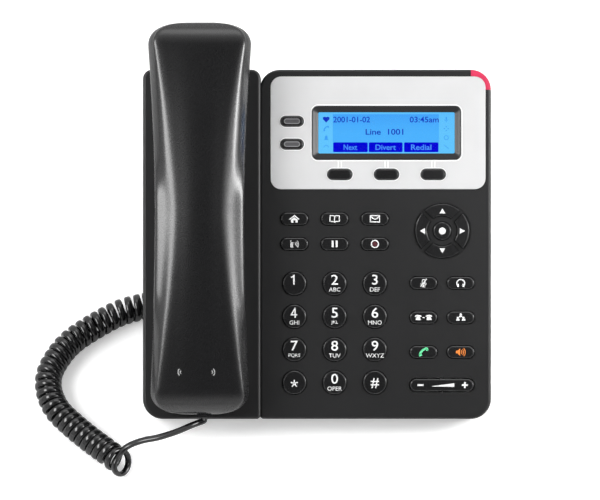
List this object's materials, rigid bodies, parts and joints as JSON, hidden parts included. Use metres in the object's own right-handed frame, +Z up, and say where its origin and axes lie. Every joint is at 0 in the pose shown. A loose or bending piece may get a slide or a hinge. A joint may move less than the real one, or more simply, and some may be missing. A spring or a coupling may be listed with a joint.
{
  "type": "desk phone",
  "caption": "Corded desk IP phone on a tilting stand: handset in its cradle, display, dial pad, call keys, rocker and a curly cord on the desk.",
  "frame": {"origin": "centre of the footprint on the desk, without the cord", "axes": "+X to the right along the front edge, +Y to the back, +Z up; the key panel faces up and forward at 30 degrees to the desk"},
  "size_m": [0.2427, 0.1973, 0.1459],
  "materials": {
    "housing": "fine textured charcoal",
    "handset_shell": "satin charcoal",
    "key": "glossy black",
    "line_key": "glossy dark grey",
    "plate": "satin silver",
    "lens": "clear window",
    "display": "blue display",
    "lamp": "translucent red",
    "board": "green solder mask",
    "silicone": "matt silicone",
    "speaker": "black cone and frame",
    "jack": "black moulded socket",
    "screw": "zinc plated",
    "stand": "fine textured charcoal",
    "foot": "matt rubber",
    "switch": "natural acetal",
    "plug": "clear polycarbonate",
    "cord": "black cord jacket",
    "capsule": "satin"
  },
  "bodies": {
    "base": {"top_shell": "housing", "bottom_shell": "housing", "face_plate": "plate", "screen_lens": "lens", "lcd_module": "display", "message_light": "lamp", "main_board": "board", "keypad_mat": "silicone", "loudspeaker": "speaker", "modular_jacks": "jack", "power_jack": "jack", "housing_screws": "screw", "stand": "stand", "rubber_feet": "foot", "hanger_tab": "housing", "base_plug": "plug", "cord_coil": "cord", "cord_base_tail": "cord"},
    "handset": {"handset_back": "handset_shell", "handset_front": "handset_shell", "earpiece": "capsule", "mic_board": "board", "handset_plug": "plug", "cord_handset_tail": "cord"},
    "hook": {"hook_switch": "switch"},
    "rocker": {"volume_rocker": "key"},
    "key_1": {"key_1": "key"},
    "key_2": {"key_2": "key"},
    "key_3": {"key_3": "key"},
    "key_4": {"key_4": "key"},
    "key_5": {"key_5": "key"},
    "key_6": {"key_6": "key"},
    "key_7": {"key_7": "key"},
    "key_8": {"key_8": "key"},
    "key_9": {"key_9": "key"},
    "key_0": {"key_0": "key"},
    "key_star": {"key_star": "key"},
    "key_hash": {"key_hash": "key"},
    "line_key_1": {"line_key_1": "line_key"},
    "line_key_2": {"line_key_2": "line_key"},
    "soft_key_1": {"soft_key_1": "key"},
    "soft_key_2": {"soft_key_2": "key"},
    "soft_key_3": {"soft_key_3": "key"},
    "home_key": {"home_key": "key"},
    "phonebook_key": {"phonebook_key": "key"},
    "message_key": {"message_key": "key"},
    "intercom_key": {"intercom_key": "key"},
    "hold_key": {"hold_key": "key"},
    "record_key": {"record_key": "key"},
    "nav_up": {"nav_up": "key"},
    "nav_down": {"nav_down": "key"},
    "nav_left": {"nav_left": "key"},
    "nav_right": {"nav_right": "key"},
    "nav_ok": {"nav_ok": "key"},
    "mute_key": {"mute_key": "key"},
    "headset_key": {"headset_key": "key"},
    "transfer_key": {"transfer_key": "key"},
    "conference_key": {"conference_key": "key"},
    "send_key": {"send_key": "key"},
    "speaker_key": {"speaker_key": "key"}
  },
  "joints": [
    {"name": "handset_lift", "type": "slide", "parent": "base", "child": "handset", "axis": [0, -0.5, 0.866], "range_m": [0, 0.05]},
    {"name": "hook_rise", "type": "slide", "parent": "base", "child": "hook", "axis": [0, -0.5, 0.866], "range_m": [0, 0.0032]},
    {"name": "volume_rock", "type": "hinge", "parent": "base", "child": "rocker", "pos_m": [0.06625, -0.06672, 0.02802], "axis": [0, 0.866, 0.5], "range_deg": [-2.5, 2.5], "stiffness_Nm_per_rad": 0.05},
    {"name": "key_1_press", "type": "slide", "parent": "base", "child": "key_1", "axis": [0, 0.5, -0.866], "range_m": [0, 0.0012], "stiffness_N_per_m": 250, "springref_m": -0.0012},
    {"name": "key_2_press", "type": "slide", "parent": "base", "child": "key_2", "axis": [0, 0.5, -0.866], "range_m": [0, 0.0012], "stiffness_N_per_m": 250, "springref_m": -0.0012},
    {"name": "key_3_press", "type": "slide", "parent": "base", "child": "key_3", "axis": [0, 0.5, -0.866], "range_m": [0, 0.0012], "stiffness_N_per_m": 250, "springref_m": -0.0012},
    {"name": "key_4_press", "type": "slide", "parent": "base", "child": "key_4", "axis": [0, 0.5, -0.866], "range_m": [0, 0.0012], "stiffness_N_per_m": 250, "springref_m": -0.0012},
    {"name": "key_5_press", "type": "slide", "parent": "base", "child": "key_5", "axis": [0, 0.5, -0.866], "range_m": [0, 0.0012], "stiffness_N_per_m": 250, "springref_m": -0.0012},
    {"name": "key_6_press", "type": "slide", "parent": "base", "child": "key_6", "axis": [0, 0.5, -0.866], "range_m": [0, 0.0012], "stiffness_N_per_m": 250, "springref_m": -0.0012},
    {"name": "key_7_press", "type": "slide", "parent": "base", "child": "key_7", "axis": [0, 0.5, -0.866], "range_m": [0, 0.0012], "stiffness_N_per_m": 250, "springref_m": -0.0012},
    {"name": "key_8_press", "type": "slide", "parent": "base", "child": "key_8", "axis": [0, 0.5, -0.866], "range_m": [0, 0.0012], "stiffness_N_per_m": 250, "springref_m": -0.0012},
    {"name": "key_9_press", "type": "slide", "parent": "base", "child": "key_9", "axis": [0, 0.5, -0.866], "range_m": [0, 0.0012], "stiffness_N_per_m": 250, "springref_m": -0.0012},
    {"name": "key_0_press", "type": "slide", "parent": "base", "child": "key_0", "axis": [0, 0.5, -0.866], "range_m": [0, 0.0012], "stiffness_N_per_m": 250, "springref_m": -0.0012},
    {"name": "key_star_press", "type": "slide", "parent": "base", "child": "key_star", "axis": [0, 0.5, -0.866], "range_m": [0, 0.0012], "stiffness_N_per_m": 250, "springref_m": -0.0012},
    {"name": "key_hash_press", "type": "slide", "parent": "base", "child": "key_hash", "axis": [0, 0.5, -0.866], "range_m": [0, 0.0012], "stiffness_N_per_m": 250, "springref_m": -0.0012},
    {"name": "line_key_1_press", "type": "slide", "parent": "base", "child": "line_key_1", "axis": [0, 0.5, -0.866], "range_m": [0, 0.0012], "stiffness_N_per_m": 250, "springref_m": -0.0012},
    {"name": "line_key_2_press", "type": "slide", "parent": "base", "child": "line_key_2", "axis": [0, 0.5, -0.866], "range_m": [0, 0.0012], "stiffness_N_per_m": 250, "springref_m": -0.0012},
    {"name": "soft_key_1_press", "type": "slide", "parent": "base", "child": "soft_key_1", "axis": [0, 0.5, -0.866], "range_m": [0, 0.0012], "stiffness_N_per_m": 250, "springref_m": -0.0012},
    {"name": "soft_key_2_press", "type": "slide", "parent": "base", "child": "soft_key_2", "axis": [0, 0.5, -0.866], "range_m": [0, 0.0012], "stiffness_N_per_m": 250, "springref_m": -0.0012},
    {"name": "soft_key_3_press", "type": "slide", "parent": "base", "child": "soft_key_3", "axis": [0, 0.5, -0.866], "range_m": [0, 0.0012], "stiffness_N_per_m": 250, "springref_m": -0.0012},
    {"name": "home_key_press", "type": "slide", "parent": "base", "child": "home_key", "axis": [0, 0.5, -0.866], "range_m": [0, 0.0012], "stiffness_N_per_m": 250, "springref_m": -0.0012},
    {"name": "phonebook_key_press", "type": "slide", "parent": "base", "child": "phonebook_key", "axis": [0, 0.5, -0.866], "range_m": [0, 0.0012], "stiffness_N_per_m": 250, "springref_m": -0.0012},
    {"name": "message_key_press", "type": "slide", "parent": "base", "child": "message_key", "axis": [0, 0.5, -0.866], "range_m": [0, 0.0012], "stiffness_N_per_m": 250, "springref_m": -0.0012},
    {"name": "intercom_key_press", "type": "slide", "parent": "base", "child": "intercom_key", "axis": [0, 0.5, -0.866], "range_m": [0, 0.0012], "stiffness_N_per_m": 250, "springref_m": -0.0012},
    {"name": "hold_key_press", "type": "slide", "parent": "base", "child": "hold_key", "axis": [0, 0.5, -0.866], "range_m": [0, 0.0012], "stiffness_N_per_m": 250, "springref_m": -0.0012},
    {"name": "record_key_press", "type": "slide", "parent": "base", "child": "record_key", "axis": [0, 0.5, -0.866], "range_m": [0, 0.0012], "stiffness_N_per_m": 250, "springref_m": -0.0012},
    {"name": "nav_up_press", "type": "slide", "parent": "base", "child": "nav_up", "axis": [0, 0.5, -0.866], "range_m": [0, 0.0012], "stiffness_N_per_m": 250, "springref_m": -0.0012},
    {"name": "nav_down_press", "type": "slide", "parent": "base", "child": "nav_down", "axis": [0, 0.5, -0.866], "range_m": [0, 0.0012], "stiffness_N_per_m": 250, "springref_m": -0.0012},
    {"name": "nav_left_press", "type": "slide", "parent": "base", "child": "nav_left", "axis": [0, 0.5, -0.866], "range_m": [0, 0.0012], "stiffness_N_per_m": 250, "springref_m": -0.0012},
    {"name": "nav_right_press", "type": "slide", "parent": "base", "child": "nav_right", "axis": [0, 0.5, -0.866], "range_m": [0, 0.0012], "stiffness_N_per_m": 250, "springref_m": -0.0012},
    {"name": "nav_ok_press", "type": "slide", "parent": "base", "child": "nav_ok", "axis": [0, 0.5, -0.866], "range_m": [0, 0.0012], "stiffness_N_per_m": 250, "springref_m": -0.0012},
    {"name": "mute_key_press", "type": "slide", "parent": "base", "child": "mute_key", "axis": [0, 0.5, -0.866], "range_m": [0, 0.0012], "stiffness_N_per_m": 250, "springref_m": -0.0012},
    {"name": "headset_key_press", "type": "slide", "parent": "base", "child": "headset_key", "axis": [0, 0.5, -0.866], "range_m": [0, 0.0012], "stiffness_N_per_m": 250, "springref_m": -0.0012},
    {"name": "transfer_key_press", "type": "slide", "parent": "base", "child": "transfer_key", "axis": [0, 0.5, -0.866], "range_m": [0, 0.0012], "stiffness_N_per_m": 250, "springref_m": -0.0012},
    {"name": "conference_key_press", "type": "slide", "parent": "base", "child": "conference_key", "axis": [0, 0.5, -0.866], "range_m": [0, 0.0012], "stiffness_N_per_m": 250, "springref_m": -0.0012},
    {"name": "send_key_press", "type": "slide", "parent": "base", "child": "send_key", "axis": [0, 0.5, -0.866], "range_m": [0, 0.0012], "stiffness_N_per_m": 250, "springref_m": -0.0012},
    {"name": "speaker_key_press", "type": "slide", "parent": "base", "child": "speaker_key", "axis": [0, 0.5, -0.866], "range_m": [0, 0.0012], "stiffness_N_per_m": 250, "springref_m": -0.0012}
  ],
  "couplings": [
    {"joint": "hook_rise", "follows": "handset_lift", "ratio": 0.064}
  ]
}
